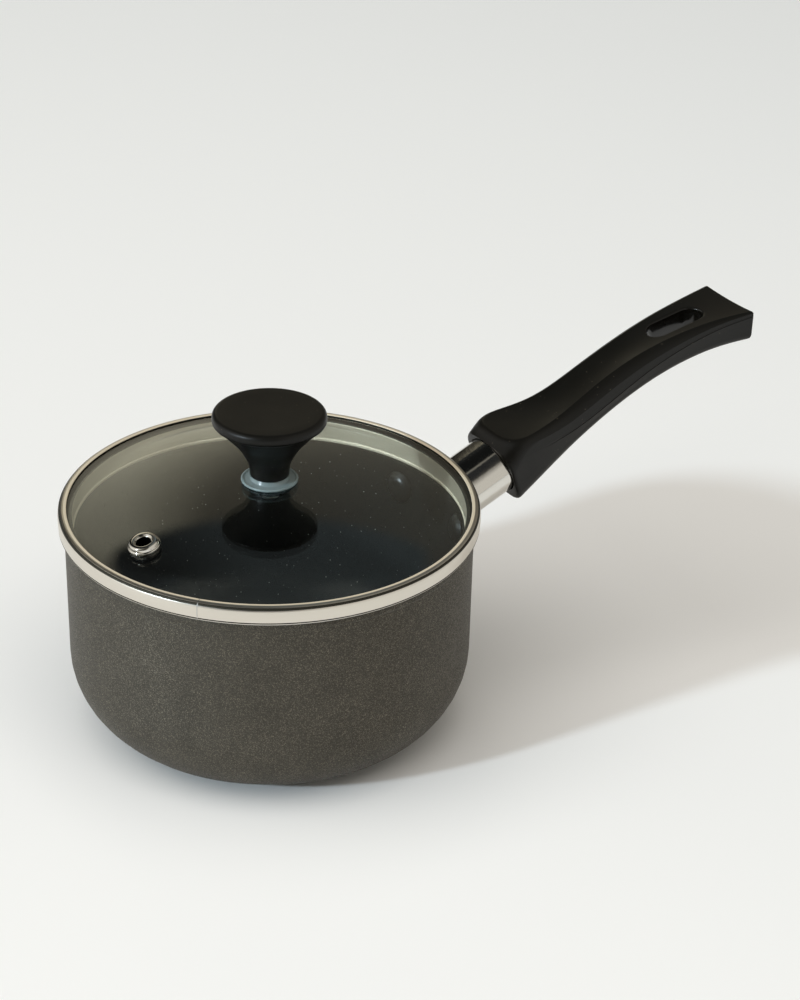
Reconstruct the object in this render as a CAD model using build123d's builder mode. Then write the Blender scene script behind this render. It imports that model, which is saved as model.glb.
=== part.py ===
from build123d import *
from math import asin, cos, degrees, radians, sin, sqrt, tan
import os

# A 16 cm saucepan with a glass lid: non-stick aluminium pan, riveted handle bracket, steel flame
# guard, moulded phenolic handle, and a lid of domed glass clasped in a rolled steel band.
# Frame: origin at the centre of the flat base, +Z up, handle along +X.  Millimetres.

# Pan
rim_diameter = 165.0        # outside of the wall at the rim
pan_height = 89.8
wall = 2.4
base_thickness = 3.2
wall_draft = 0.5            # degrees, the wall opens towards the rim
corner_radius = 34.0        # outside, between base and wall
bead_width = 0.8            # how far the rim bead stands proud of the wall
bead_height = 4.0
rim_edge_round = 0.6

# Bracket and its two rivets, under the rim bead
plate_thickness = 2.0
plate_width = 66.0
plate_height = 25.0
plate_corner = 9.0
plate_clearance = 1.8       # between the plate's top edge and the rim bead
cup_length = 14.0
cup_wall = 2.0
cup_end = 3.0
rivet_spacing = 46.0
rivet_shank = 6.0
rivet_head_diameter = 13.5
rivet_head_height = 2.6
rivet_seat_gap = 0.1
nut_across_flats = 8.0
nut_thickness = 4.0

# Handle axis: it leaves the wall a little above the plate's middle and climbs
root_lift = 2.5
handle_rise = 22.5          # degrees

# Flame guard: an oval tube between bracket and handle
guard_width = 29.0
guard_height = 23.0
guard_wall = 0.9
guard_fit = 0.2             # play round the guard's two ends

# Handle, sections square to its spine: collar, throat, neck, grip, eye, heel, tail.  A run is
# measured level from the section before, a lift is the section's middle over the handle axis
collar_start = 28.7         # along the handle axis, from the wall
collar_side_wall = 2.3      # round the guard's socket
collar_top_wall = 2.25
collar_bottom_wall = 3.6
throat_run = 12.1           # from the collar's front
throat_lift = 0.6
throat_width = 32.5
throat_height = 24.6
neck_run = 17.0
neck_lift = 0.3
neck_width = 28.5
neck_height = 17.5
grip_run = 22.0
grip_lift = 1.7
grip_width = 26.0
grip_height = 15.5
eye_run = 44.0
eye_lift = -1.5
eye_width = 28.0
eye_height = 14.2
heel_run = 14.0
heel_lift = -5.3
heel_width = 29.6
heel_height = 14.1
tail_run = 15.0
tail_lift = -10.3
tail_width = 32.0
tail_height = 14.0
tail_rise = 3.0             # degrees
top_hollow = 0.9            # the top is dished along the grip
collar_hollow = 0.2
edge_bevel = 4.4            # soft bevel along both top edges, across and down
edge_bevel_drop = 3.6       # it fades out towards the tail
eye_bevel_drop = 2.2
heel_bevel_drop = 1.2
tail_bevel_drop = 0.6
side_draft = 0.8            # the sides draw in under the mould's parting line
bottom_round = 4.0
collar_round = 5.0
tail_round = 1.0
socket_depth = 8.0
slot_length = 28.0
slot_width = 11.0

# Long screw through the handle
screw_diameter = 5.0
screw_play = 0.6            # clearance of a bore over the screw, on the diameter
thread_play = 0.2
screw_head_diameter = 8.0
screw_head_height = 3.2
screw_head_round = 1.0
screw_head_cover = 2.3      # the head lies this far inside the slot's front wall
screw_protrusion = 2.0      # the tip stands this far out of the nut
lock_washer_thickness = 1.0
head_play = 0.8

# Lid band, rolled from sheet
band_overhang = 2.5         # outside of the band beyond the outside of the wall
band_sheet = 0.7
lip_width = 3.0             # how far the lip folds in over the glass
lip_inner_round = 1.3
fold_inner_round = 0.1
ledge_flat = 0.3            # level stretch of the ledge that carries the glass
ledge_upright = 0.5         # straight stretch below the ledge
skirt_depth = 6.0           # below the rim, inside the pan's mouth
skirt_play = 0.6            # between skirt and pan wall

# Lid glass
glass_thickness = 4.0
glass_edge_play = 0.8
dome_rise = 10.9
glass_rim_width = 5.0       # flat rim of the glass that the band clasps
glass_edge_round = 0.8
dome_edge_round = 12.0      # where the dome runs into the flat rim

# Steam vent, an eyelet clinched through the glass
vent_inset = 19.5           # from the glass's edge to the middle of the vent
vent_azimuth = -170.0       # degrees, from the handle
vent_hole = 6.0
vent_tube_wall = 0.9
vent_flange_diameter = 13.0
vent_flange_edge = 1.0
vent_crown_diameter = 9.4
vent_crown_start = 2.0
vent_crown_height = 3.0
vent_clinch_diameter = 10.4
vent_clinch_height = 1.2
vent_washer_thickness = 0.8
vent_edge_round = 0.4
vent_fit = 0.15

# Knob and its screw
knob_diameter = 46.0
knob_height = 28.0
knob_rim_height = 6.0
knob_neck_diameter = 16.0
knob_neck_height = 2.5
knob_flare_diameter = 24.0
knob_flare_height = 12.3
knob_dish = 0.6             # the top is slightly hollow
knob_washer_diameter = 23.0
knob_washer_thickness = 1.1
knob_seat_height = 2.4      # raised middle of the washer that the knob stands on
knob_seat_diameter = 14.0
insert_diameter = 9.0
insert_length = 14.0
insert_fit = 0.1
gasket_diameter = 18.0
gasket_thickness = 1.2
gasket_gap = 0.2
cup_washer_diameter = 14.0
cup_washer_thickness = 1.0
knob_screw_head_diameter = 8.6
knob_screw_head_height = 3.0
glass_hole_play = 3.0       # hole in the glass over the knob screw, on the diameter

os.makedirs("parts", exist_ok=True)


plate_middle_height = pan_height - bead_height - plate_clearance - plate_height / 2
root_height = plate_middle_height + root_lift


def wall_radius(height):
    """Outside radius of the drafted wall at a height."""
    return rim_diameter / 2 - (pan_height - height) * tan(radians(wall_draft))


def wall_ring(inner, outer):
    """Ring that follows the wall, between two distances from its outside."""
    with BuildPart() as ring:
        with BuildSketch(Plane.XZ):
            Polygon(
                (wall_radius(0) + inner, 0),
                (wall_radius(0) + outer, 0),
                (wall_radius(pan_height) + outer, pan_height),
                (wall_radius(pan_height) + inner, pan_height),
                align=None,
            )
        revolve(axis=Axis.Z)
    return ring.part


def handle_plane(distance):
    """Plane square to the handle axis, a distance from the wall, with its Y up."""
    rise = radians(handle_rise)
    return Plane(
        origin=(wall_radius(root_height) + distance * cos(rise), 0, root_height + distance * sin(rise)),
        x_dir=(0, 1, 0),
        z_dir=(cos(rise), 0, sin(rise)),
    )


def axis_distance(reach):
    """Distance from the wall along the handle axis, at a reach from the collar's front."""
    return collar_start + reach / cos(radians(handle_rise))


# Pan body: drawn aluminium, rounded into the base, with a bead round the rim
rim_radius = rim_diameter / 2
bead_radius = rim_radius + bead_width
with BuildPart() as pan_body:
    with BuildSketch(Plane.XZ) as pan_profile:
        Polygon(
            (0, 0),
            (wall_radius(0), 0),
            (wall_radius(pan_height - bead_height), pan_height - bead_height),
            (bead_radius, pan_height - bead_height + bead_width),
            (bead_radius, pan_height),
            (rim_radius - wall, pan_height),
            (wall_radius(base_thickness) - wall, base_thickness),
            (0, base_thickness),
            align=None,
        )
        outer_corner = pan_profile.vertices().sort_by_distance((wall_radius(0), 0))[0]
        fillet(outer_corner, corner_radius)
        inner_corner = pan_profile.vertices().sort_by_distance((wall_radius(0) - wall, base_thickness))[0]
        fillet(inner_corner, corner_radius - wall)
        fillet(pan_profile.vertices().group_by(Axis.Y)[-1], rim_edge_round)
    revolve(axis=Axis.Z)
    rivet_angle = degrees(asin(rivet_spacing / 2 / rim_radius))
    rivet_planes = []
    for azimuth in (-rivet_angle, rivet_angle):
        outward = Vector(1, 0, 0).rotate(Axis.Z, azimuth)
        rivet_planes.append(Plane(origin=(0, 0, plate_middle_height), x_dir=(0, 0, 1), z_dir=outward))
    for plane in rivet_planes:
        with BuildSketch(plane):
            Circle(rivet_shank / 2)
        extrude(amount=rim_diameter, mode=Mode.SUBTRACT)
pan_body.part.label = "pan_body"
export_step(pan_body.part, "parts/pan_body.step")

# Handle bracket: a saddle plate on the wall with a deep cup that carries the handle screw
cup_width = guard_width - 2 * guard_wall - 2 * guard_fit
cup_height = guard_height - 2 * guard_wall - 2 * guard_fit
behind_wall = -cup_length
with BuildPart() as handle_bracket:
    add(wall_ring(0, plate_thickness))
    with BuildSketch(Plane.YZ):
        with Locations((0, plate_middle_height)):
            RectangleRounded(plate_width, plate_height, plate_corner)
    extrude(amount=rim_diameter, mode=Mode.INTERSECT)
    with BuildSketch(handle_plane(behind_wall)):
        Ellipse(cup_width / 2, cup_height / 2)
    extrude(amount=cup_length - behind_wall)
    with BuildSketch(handle_plane(behind_wall)):
        Ellipse(cup_width / 2 - cup_wall, cup_height / 2 - cup_wall)
    extrude(amount=cup_length - cup_end - behind_wall, mode=Mode.SUBTRACT)
    add(wall_ring(-rim_radius / 2, 0), mode=Mode.SUBTRACT)
    with BuildSketch(handle_plane(behind_wall)):
        Circle((screw_diameter + thread_play) / 2)
    extrude(amount=2 * (cup_length - behind_wall), mode=Mode.SUBTRACT)
    for plane in rivet_planes:
        with BuildSketch(plane):
            Circle(rivet_shank / 2)
        extrude(amount=rim_diameter, mode=Mode.SUBTRACT)
handle_bracket.part.label = "handle_bracket"
export_step(handle_bracket.part, "parts/handle_bracket.step")

# Bracket nut: welded inside the cup, it takes the screw's thread
nut_start = cup_length - cup_end - nut_thickness
with BuildPart() as bracket_nut:
    with BuildSketch(handle_plane(nut_start)):
        RegularPolygon(nut_across_flats / 2, 6, major_radius=False)
        Circle((screw_diameter + thread_play) / 2, mode=Mode.SUBTRACT)
    extrude(amount=nut_thickness)
bracket_nut.part.label = "bracket_nut"
export_step(bracket_nut.part, "parts/bracket_nut.step")

# Bracket rivets: low domed heads inside the pan and outside on the plate
rivet_head_radius = rivet_head_diameter / 2
inner_radius = wall_radius(plate_middle_height) - wall
inner_seat = sqrt(inner_radius**2 - rivet_head_radius**2) - rivet_seat_gap
outer_seat = wall_radius(plate_middle_height) + plate_thickness + rivet_seat_gap
inner_crown = inner_seat - rivet_head_height
outer_crown = outer_seat + rivet_head_height
with BuildPart() as bracket_rivets:
    for plane in rivet_planes:
        along_rivet = Plane(origin=plane.origin, x_dir=plane.x_dir, z_dir=plane.x_dir.cross(plane.z_dir))
        with BuildSketch(along_rivet):
            with BuildLine():
                TangentArc((0, inner_crown), (rivet_head_radius, inner_seat), tangent=(1, 0))
                Polyline(
                    (rivet_head_radius, inner_seat),
                    (rivet_shank / 2, inner_seat),
                    (rivet_shank / 2, outer_seat),
                    (rivet_head_radius, outer_seat),
                )
                TangentArc((0, outer_crown), (rivet_head_radius, outer_seat), tangent=(1, 0))
                Line((0, outer_crown), (0, inner_crown))
            make_face()
        revolve(axis=Axis(plane.origin, plane.z_dir))
bracket_rivets.part.label = "bracket_rivets"
export_step(bracket_rivets.part, "parts/bracket_rivets.step")

# Flame guard: polished oval tube, its pan end cut to the curve of the bracket plate
guard_end = collar_start + socket_depth
with BuildPart() as flame_guard:
    with BuildSketch(handle_plane(behind_wall)):
        Ellipse(guard_width / 2, guard_height / 2)
        Ellipse(guard_width / 2 - guard_wall, guard_height / 2 - guard_wall, mode=Mode.SUBTRACT)
    extrude(amount=guard_end - behind_wall)
    add(wall_ring(-rim_radius / 2, plate_thickness), mode=Mode.SUBTRACT)
flame_guard.part.label = "flame_guard"
export_step(flame_guard.part, "parts/flame_guard.step")


def handle_section(plane, width, height, hollow, bevel_drop):
    """Section of the handle: dished top, soft bevels, widest at the parting line, drawn in below."""
    half = width / 2
    top = height / 2
    parting = (half, top - bevel_drop)
    side_end = (half - side_draft, bottom_round - top)
    bottom_end = (half - side_draft - bottom_round, -top)
    with BuildSketch(plane) as section:
        with BuildLine():
            TangentArc((0, top - hollow), (half - edge_bevel, top), tangent=(1, 0))
            TangentArc((half - edge_bevel, top), parting, tangent=(1, 0))
            Line(parting, side_end)
            RadiusArc(side_end, bottom_end, bottom_round)
            Line(bottom_end, (0, -top))
            mirror(about=Plane.YZ)
        make_face()
    return section.sketch


# Handle grip: the moulding runs along a gentle S from the collar to the square-cut tail
collar_width = guard_width + 2 * guard_fit + 2 * collar_side_wall
collar_height = guard_height + 2 * guard_fit + collar_top_wall + collar_bottom_wall
collar_drop = (collar_bottom_wall - collar_top_wall) / 2
throat_reach = throat_run
neck_reach = throat_reach + neck_run
grip_reach = neck_reach + grip_run
eye_reach = grip_reach + eye_run
heel_reach = eye_reach + heel_run
tail_reach = heel_reach + tail_run
collar_plane = handle_plane(collar_start + collar_round)
collar_plane.origin -= collar_plane.y_dir * collar_drop


def over_axis(reach, lift):
    """Point of the handle's spine: a reach from the collar's front, a lift over the axis."""
    return handle_plane(axis_distance(reach)).origin + Vector(0, 0, lift)


stations = [
    (collar_plane.origin, collar_width, collar_height, collar_hollow, edge_bevel_drop),
    (over_axis(throat_reach, throat_lift), throat_width, throat_height, top_hollow, edge_bevel_drop),
    (over_axis(neck_reach, neck_lift), neck_width, neck_height, top_hollow, edge_bevel_drop),
    (over_axis(grip_reach, grip_lift), grip_width, grip_height, top_hollow, edge_bevel_drop),
    (over_axis(eye_reach, eye_lift), eye_width, eye_height, top_hollow, eye_bevel_drop),
    (over_axis(heel_reach, heel_lift), heel_width, heel_height, top_hollow, heel_bevel_drop),
    (over_axis(tail_reach, tail_lift), tail_width, tail_height, top_hollow, tail_bevel_drop),
]
with BuildLine(Plane.XZ) as spine:
    Spline(
        *[(middle.X, middle.Z) for middle, *_ in stations],
        tangents=[
            (cos(radians(handle_rise)), sin(radians(handle_rise))),
            (cos(radians(tail_rise)), sin(radians(tail_rise))),
        ],
    )


def spine_plane(middle):
    """Plane square to the handle's spine at one of its points, with its Y up."""
    return Plane(origin=middle, x_dir=(0, 1, 0), z_dir=spine.edge().tangent_at(middle))


screw_sink = lock_washer_thickness + screw_head_height + screw_head_cover
seat_distance = axis_distance(eye_reach - slot_length / 2) - screw_sink
eye_plane = spine_plane(over_axis(eye_reach, eye_lift))
with BuildPart() as handle_grip:
    loft(
        [
            handle_section(spine_plane(middle), width, height, hollow, bevel_drop)
            for middle, width, height, hollow, bevel_drop in stations
        ]
    )
    shoulder = []
    for turn in (0, 45, 90):
        back = collar_round * sin(radians(turn))
        inset = collar_round * (1 - cos(radians(turn)))
        width = collar_width - 2 * inset
        height = collar_height - 2 * inset
        shoulder.append(
            handle_section(collar_plane.offset(-back), width, height, collar_hollow, edge_bevel_drop)
        )
    loft(shoulder)
    tail_face = handle_grip.faces().filter_by(GeomType.PLANE).sort_by(Axis.X)[-1]
    fillet(tail_face.edges(), tail_round)
    with BuildSketch(handle_plane(collar_start - collar_round)):
        Ellipse(guard_width / 2 + guard_fit, guard_height / 2 + guard_fit)
    extrude(amount=socket_depth + collar_round, mode=Mode.SUBTRACT)
    with BuildSketch(Plane(origin=eye_plane.origin, x_dir=eye_plane.z_dir, z_dir=eye_plane.y_dir)):
        SlotOverall(slot_length, slot_width)
    extrude(amount=eye_height, both=True, mode=Mode.SUBTRACT)
    with BuildSketch(handle_plane(guard_end)):
        Circle((screw_diameter + screw_play) / 2)
    extrude(amount=seat_distance - guard_end, mode=Mode.SUBTRACT)
    with BuildSketch(handle_plane(seat_distance)):
        Circle((screw_head_diameter + head_play) / 2)
    extrude(amount=screw_sink + slot_width / 2, mode=Mode.SUBTRACT)
handle_grip.part.label = "handle_grip"
export_step(handle_grip.part, "parts/handle_grip.step")

# Handle screw: its head lies sunk in the slot's front wall, its thread ends in the bracket nut
head_seat = seat_distance + lock_washer_thickness
screw_tip = nut_start - screw_protrusion
with BuildPart() as handle_screw:
    with BuildSketch(handle_plane(screw_tip)):
        Circle(screw_diameter / 2)
    extrude(amount=head_seat - screw_tip)
    with BuildSketch(handle_plane(head_seat)):
        Circle(screw_head_diameter / 2)
    extrude(amount=screw_head_height)
    fillet(handle_screw.edges().filter_by(GeomType.CIRCLE).sort_by(Axis.X)[-1], screw_head_round)
handle_screw.part.label = "handle_screw"
export_step(handle_screw.part, "parts/handle_screw.step")

# Lock washer under the screw's head
with BuildPart() as screw_lock_washer:
    with BuildSketch(handle_plane(seat_distance)):
        Circle(screw_head_diameter / 2)
        Circle((screw_diameter + screw_play) / 2, mode=Mode.SUBTRACT)
    extrude(amount=lock_washer_thickness)
screw_lock_washer.part.label = "screw_lock_washer"
export_step(screw_lock_washer.part, "parts/screw_lock_washer.step")

# Lid rim band: one sheet rolled over the glass, down the outside, in under the rim, up to the
# ledge that carries the glass, and down again as the skirt inside the pan's mouth
band_radius = rim_radius + band_overhang
band_bottom = pan_height
lip_round = lip_inner_round + band_sheet
fold_round = fold_inner_round + band_sheet
ledge_top = band_bottom + ledge_upright + 2 * fold_round + band_sheet
glass_rim_top = ledge_top + glass_thickness
band_top = glass_rim_top + band_sheet
skirt_radius = rim_radius - wall - skirt_play
ledge_radius = skirt_radius + ledge_flat + 2 * fold_round
with BuildPart() as lid_rim_band:
    with BuildSketch(Plane.XZ):
        with BuildLine():
            FilletPolyline(
                (band_radius - lip_width, band_top),
                (band_radius, band_top),
                (band_radius, band_bottom),
                (ledge_radius, band_bottom),
                (ledge_radius, ledge_top - band_sheet),
                (skirt_radius, ledge_top - band_sheet),
                (skirt_radius, band_bottom - skirt_depth),
                radius=[lip_round, fold_round, fold_round, fold_round, fold_round],
            )
            offset(amount=band_sheet, side=Side.RIGHT)
        make_face()
    revolve(axis=Axis.Z)
lid_rim_band.part.label = "lid_rim_band"
export_step(lid_rim_band.part, "parts/lid_rim_band.step")

# Lid glass: shallow dome with a flat rim, drilled for the knob screw and the vent
glass_radius = band_radius - band_sheet - glass_edge_play
dome_edge = glass_radius - glass_rim_width
dome_top = glass_rim_top + dome_rise
dome_sphere = (dome_edge**2 + dome_rise**2) / (2 * dome_rise)
vent_radius = glass_radius - vent_inset
vent_tilt = asin(vent_radius / dome_sphere)
vent_way = Vector(1, 0, 0).rotate(Axis.Z, vent_azimuth)
vent_plane = Plane(
    origin=vent_way * vent_radius + Vector(0, 0, dome_top - dome_sphere * (1 - cos(vent_tilt))),
    x_dir=Vector(0, 0, 1).cross(vent_way),
    z_dir=vent_way * sin(vent_tilt) + Vector(0, 0, cos(vent_tilt)),
)
vent_tube_radius = vent_hole / 2 + vent_tube_wall
with BuildPart() as lid_glass:
    with BuildSketch(Plane.XZ) as glass_profile:
        with BuildLine():
            TangentArc((0, dome_top), (dome_edge, glass_rim_top), tangent=(1, 0))
            Polyline(
                (dome_edge, glass_rim_top),
                (glass_radius, glass_rim_top),
                (glass_radius, ledge_top),
                (dome_edge, ledge_top),
            )
            TangentArc((0, dome_top - glass_thickness), (dome_edge, ledge_top), tangent=(1, 0))
            Line((0, dome_top - glass_thickness), (0, dome_top))
        make_face()
        fillet(glass_profile.vertices().group_by(Axis.X)[-1], glass_edge_round)
        fillet(glass_profile.vertices().group_by(Axis.X)[1], dome_edge_round)
    revolve(axis=Axis.Z)
    with BuildSketch(Plane.XY.offset(dome_top)):
        Circle((screw_diameter + glass_hole_play) / 2)
    extrude(amount=2 * glass_thickness, both=True, mode=Mode.SUBTRACT)
    with BuildSketch(vent_plane):
        Circle(vent_tube_radius + vent_fit)
    extrude(amount=2 * glass_thickness, both=True, mode=Mode.SUBTRACT)
lid_glass.part.label = "lid_glass"
export_step(lid_glass.part, "parts/lid_glass.step")

# Vent eyelet: flange and crown above the glass, clinched over a washer below it
washer_top = -glass_thickness - vent_fit
clinch_top = washer_top - vent_washer_thickness
vent_section = Plane(origin=vent_plane.origin, x_dir=vent_plane.x_dir, z_dir=-vent_plane.y_dir)
with BuildPart() as vent_eyelet:
    with BuildSketch(vent_section) as eyelet_profile:
        Polygon(
            (vent_hole / 2, clinch_top - vent_clinch_height),
            (vent_clinch_diameter / 2, clinch_top - vent_clinch_height),
            (vent_clinch_diameter / 2, clinch_top),
            (vent_tube_radius, clinch_top),
            (vent_tube_radius, 0),
            (vent_flange_diameter / 2, 0),
            (vent_flange_diameter / 2, vent_flange_edge),
            (vent_crown_diameter / 2, vent_crown_start),
            (vent_crown_diameter / 2, vent_crown_height),
            (vent_hole / 2, vent_crown_height),
            align=None,
        )
        fillet(eyelet_profile.vertices().group_by(Axis.Y)[-1], vent_edge_round)
    revolve(axis=Axis(vent_plane.origin, vent_plane.z_dir))
vent_eyelet.part.label = "vent_eyelet"
export_step(vent_eyelet.part, "parts/vent_eyelet.step")

# Vent washer, flat, under the glass
with BuildPart() as vent_washer:
    with BuildSketch(vent_plane.offset(clinch_top)):
        Circle(vent_flange_diameter / 2)
        Circle(vent_tube_radius + vent_fit, mode=Mode.SUBTRACT)
    extrude(amount=vent_washer_thickness)
vent_washer.part.label = "vent_washer"
export_step(vent_washer.part, "parts/vent_washer.step")

# Knob washer: a clear disc on the glass, with a raised middle that the knob stands on
knob_base = dome_top + knob_seat_height
with BuildPart() as knob_washer:
    with BuildSketch(Plane.XY.offset(dome_top)):
        Circle(knob_washer_diameter / 2)
    extrude(amount=knob_washer_thickness)
    with BuildSketch(Plane.XY.offset(dome_top)):
        Circle(knob_seat_diameter / 2)
    extrude(amount=knob_seat_height)
    with BuildSketch(Plane.XY.offset(dome_top)):
        Circle((screw_diameter + screw_play) / 2)
    extrude(amount=knob_seat_height, mode=Mode.SUBTRACT)
knob_washer.part.label = "knob_washer"
export_step(knob_washer.part, "parts/knob_washer.step")

# Knob: mushroom moulding, its slim neck flaring into a round-edged disc with a slightly hollow top
knob_top = knob_base + knob_height
knob_radius = knob_diameter / 2
knob_rim_round = knob_rim_height / 2
rim_round_centre = knob_radius - knob_rim_round
insert_radius = insert_diameter / 2
with BuildPart() as knob:
    with BuildSketch(Plane.XZ):
        with BuildLine():
            Polyline(
                (0, knob_top - knob_dish),
                (0, knob_base),
                (knob_neck_diameter / 2, knob_base),
                (knob_neck_diameter / 2, knob_base + knob_neck_height),
            )
            flare = TangentArc(
                (knob_neck_diameter / 2, knob_base + knob_neck_height),
                (knob_flare_diameter / 2, knob_base + knob_flare_height),
                tangent=(0, 1),
            )
            Line(flare @ 1, (rim_round_centre, knob_top - knob_rim_height))
            ThreePointArc(
                (rim_round_centre, knob_top - knob_rim_height),
                (knob_radius, knob_top - knob_rim_round),
                (rim_round_centre, knob_top),
            )
            TangentArc((0, knob_top - knob_dish), (rim_round_centre, knob_top), tangent=(1, 0))
        make_face()
    revolve(axis=Axis.Z)
    with BuildSketch(Plane.XY.offset(knob_base)):
        Circle(insert_radius + insert_fit)
    extrude(amount=insert_length, mode=Mode.SUBTRACT)
knob.part.label = "knob"
export_step(knob.part, "parts/knob.step")

# Knob insert: threaded sleeve moulded into the neck
with BuildPart() as knob_insert:
    with BuildSketch(Plane.XY.offset(knob_base)):
        Circle(insert_radius)
        Circle((screw_diameter + thread_play) / 2, mode=Mode.SUBTRACT)
    extrude(amount=insert_length)
knob_insert.part.label = "knob_insert"
export_step(knob_insert.part, "parts/knob_insert.step")

# Knob gasket: clear, under the glass
gasket_top = dome_top - glass_thickness - gasket_gap
with BuildPart() as knob_gasket:
    with BuildSketch(Plane.XY.offset(gasket_top)):
        Circle(gasket_diameter / 2)
        Circle((screw_diameter + screw_play) / 2, mode=Mode.SUBTRACT)
    extrude(amount=-gasket_thickness)
knob_gasket.part.label = "knob_gasket"
export_step(knob_gasket.part, "parts/knob_gasket.step")

# Cup washer: steel, between gasket and screw head
cup_washer_top = gasket_top - gasket_thickness
with BuildPart() as knob_cup_washer:
    with BuildSketch(Plane.XY.offset(cup_washer_top)):
        Circle(cup_washer_diameter / 2)
        Circle((screw_diameter + screw_play) / 2, mode=Mode.SUBTRACT)
    extrude(amount=-cup_washer_thickness)
knob_cup_washer.part.label = "knob_cup_washer"
export_step(knob_cup_washer.part, "parts/knob_cup_washer.step")

# Knob screw: up through washer, gasket and glass into the insert
knob_screw_seat = cup_washer_top - cup_washer_thickness
with BuildPart() as knob_screw:
    with BuildSketch(Plane.XY.offset(knob_screw_seat)):
        Circle(screw_diameter / 2)
    extrude(amount=knob_base + insert_length - screw_diameter / 2 - knob_screw_seat)
    with BuildSketch(Plane.XY.offset(knob_screw_seat)):
        Circle(knob_screw_head_diameter / 2)
    extrude(amount=-knob_screw_head_height)
    fillet(knob_screw.edges().group_by(Axis.Z)[0], screw_head_round)
knob_screw.part.label = "knob_screw"
export_step(knob_screw.part, "parts/knob_screw.step")
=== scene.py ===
from cmath import phase, rect
from math import asin, atan2, ceil, cos, pi, radians, sin, sqrt, tan

import bmesh
import bpy
import numpy as np
from mathutils import Matrix, Vector


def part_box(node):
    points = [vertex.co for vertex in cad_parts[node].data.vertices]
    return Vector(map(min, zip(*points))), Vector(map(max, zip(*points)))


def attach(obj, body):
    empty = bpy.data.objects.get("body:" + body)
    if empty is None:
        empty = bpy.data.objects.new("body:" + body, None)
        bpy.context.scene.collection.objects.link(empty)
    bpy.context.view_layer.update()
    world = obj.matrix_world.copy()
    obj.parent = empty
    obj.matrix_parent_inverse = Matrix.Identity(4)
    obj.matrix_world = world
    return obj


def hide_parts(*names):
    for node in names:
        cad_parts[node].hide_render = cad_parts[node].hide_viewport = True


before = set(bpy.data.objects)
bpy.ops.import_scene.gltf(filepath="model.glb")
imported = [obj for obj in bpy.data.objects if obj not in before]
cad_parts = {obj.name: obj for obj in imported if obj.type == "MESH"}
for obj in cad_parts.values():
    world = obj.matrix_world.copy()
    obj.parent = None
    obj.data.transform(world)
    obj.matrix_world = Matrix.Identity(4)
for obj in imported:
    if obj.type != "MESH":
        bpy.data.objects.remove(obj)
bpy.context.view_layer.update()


# Pan body
# Drawn aluminium, sprayed outside with a dark metallic coating and inside with black non-stick.
# The rim is turned clean after spraying, so a narrow band of bare metal shows under the lid.
MM = 0.001
pan_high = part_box("pan_body")[1]
rim_top = pan_high.z
bead_radius = pan_high.x
wall = 2.4 * MM
base_thickness = 3.2 * MM
bead_width = 0.8 * MM
bead_height = 4.0 * MM
bead_round = 0.6 * MM
corner_radius = 34.0 * MM
rim_radius = bead_radius - bead_width
wall_slope = tan(radians(0.5))
bare_edge = 0.75 * MM


def wall_radius(height):
    """Outside radius of the pan's wall, which opens a little towards the rim."""
    return rim_radius - (rim_top - height) * wall_slope


def linear(colour):
    """Linear RGBA of an sRGB hex colour."""
    levels = [int(colour[i:i + 2], 16) / 255 for i in (0, 2, 4)]
    return [*(c / 12.92 if c <= 0.04045 else ((c + 0.055) / 1.055) ** 2.4 for c in levels), 1.0]


def add_node(tree, kind, inputs=None, **settings):
    """Adds a node with its settings; inputs are its sockets, each given a value or a link."""
    node = tree.nodes.new(kind)
    for name, value in settings.items():
        setattr(node, name, value)
    for socket, value in (inputs or {}).items():
        if isinstance(value, bpy.types.NodeSocket):
            tree.links.new(value, node.inputs[socket])
        else:
            node.inputs[socket].default_value = value
    return node


def new_finish(name):
    """An empty material and its node tree."""
    finish = bpy.data.materials.new(name)
    finish.use_nodes = True
    finish.node_tree.nodes.clear()
    return finish, finish.node_tree


def grain(tree, size, detail=2.0):
    """Noise in Object coordinates, with lumps of one size or of a size along each axis."""
    where = add_node(tree, "ShaderNodeTexCoord").outputs["Object"]
    if isinstance(size, tuple):
        scales = [1 / axis_size for axis_size in size]
        where = add_node(tree, "ShaderNodeMapping", {"Vector": where, "Scale": scales}).outputs[0]
        size = 1.0
    noise = add_node(tree, "ShaderNodeTexNoise", {"Vector": where, "Scale": 1 / size, "Detail": detail})
    return noise.outputs["Fac"]


def cells(tree, spacing):
    """Voronoi cells in Object coordinates, one for each flake or speck."""
    where = add_node(tree, "ShaderNodeTexCoord")
    return add_node(tree, "ShaderNodeTexVoronoi", {"Vector": where.outputs["Object"], "Scale": 1 / spacing})


def between(tree, value, low, high, **settings):
    """A pattern of 0 to 1, spread from low to high."""
    spread = add_node(tree, "ShaderNodeMapRange", {"Value": value, "To Min": low, "To Max": high}, **settings)
    return spread.outputs["Result"]


def roughened(tree, height, strength, depth):
    """The normal of a surface that a pattern raises by a depth."""
    bump = add_node(tree, "ShaderNodeBump", {"Height": height, "Strength": strength, "Distance": depth})
    return bump.outputs["Normal"]


def surfaced(tree, inputs, **settings):
    """Ends a material's tree in a shader with these inputs."""
    shader = add_node(tree, "ShaderNodeBsdfPrincipled", inputs, **settings)
    return add_node(tree, "ShaderNodeOutputMaterial", {"Surface": shader.outputs[0]})


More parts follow.
